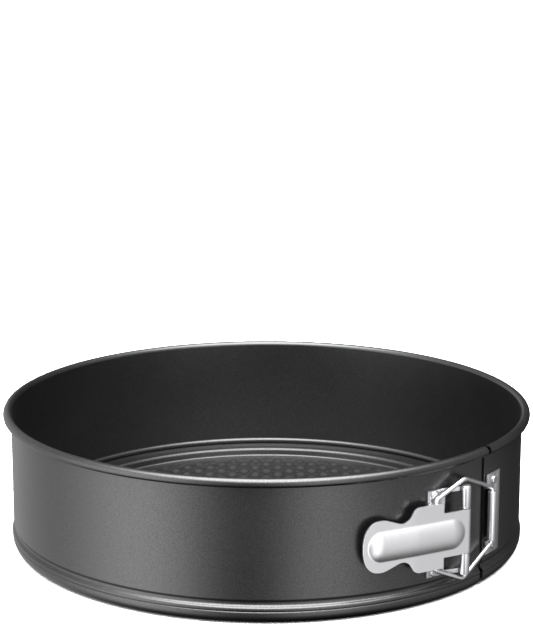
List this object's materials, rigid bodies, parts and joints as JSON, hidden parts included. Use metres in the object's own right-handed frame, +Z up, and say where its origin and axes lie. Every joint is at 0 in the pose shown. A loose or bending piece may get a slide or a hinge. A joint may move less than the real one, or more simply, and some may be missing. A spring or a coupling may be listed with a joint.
{
  "type": "springform pan",
  "caption": "Round baking pan: a split side band with rolled rim and foot channel, a loose stepped base, and an over-centre lever latch with wire bail and catch plate.",
  "frame": {"origin": "on the pan's axis, in the plane of the foot it stands on", "axes": "+Z up along the pan's axis; the band's gap and the latch face -Y, with the lever on the -X side of the gap and the catch on the +X side"},
  "size_m": [0.264, 0.2674, 0.0692],
  "materials": {
    "coated_steel": "satin non-stick coating",
    "plated_steel": "satin nickel plating",
    "rivet_steel": "satin",
    "wire_steel": "drawn and plated"
  },
  "bodies": {
    "ring": {"side_band": "coated_steel", "latch_bracket": "plated_steel", "latch_rivets": "rivet_steel", "hinge_pin": "rivet_steel"},
    "lever": {"latch_lever": "plated_steel"},
    "catch_end": {"catch_plate": "plated_steel", "catch_rivets": "rivet_steel"},
    "bail": {"bail_wire": "wire_steel"},
    "base": {"base_plate": "coated_steel"}
  },
  "joints": [
    {"name": "lever_swing", "type": "hinge", "parent": "ring", "child": "lever", "pos_m": [-0.021, -0.1325, 0.03476], "axis": [0, 0, 1], "range_deg": [0, 130], "deforming": ["bail_wire"]},
    {"name": "ring_spread", "type": "hinge", "parent": "ring", "child": "catch_end", "pos_m": [0, 0.1278, 0.03476], "axis": [0, 0, 1], "range_deg": [0, 3.52], "deforming": ["side_band"]},
    {"name": "bail_swing", "type": "hinge", "parent": "catch_end", "child": "bail", "pos_m": [0.00434, -0.13093, 0.03476], "axis": [0, 0, 1], "range_deg": [0, 28.83]},
    {"name": "base_lift", "type": "slide", "parent": "ring", "child": "base", "axis": [0, 0, 1], "range_m": [0, 0.085]}
  ],
  "couplings": [
    {"joint": "ring_spread", "follows": "lever_swing", "ratio": 0.026986},
    {"joint": "bail_swing", "follows": "lever_swing", "ratio": 0.22137}
  ]
}
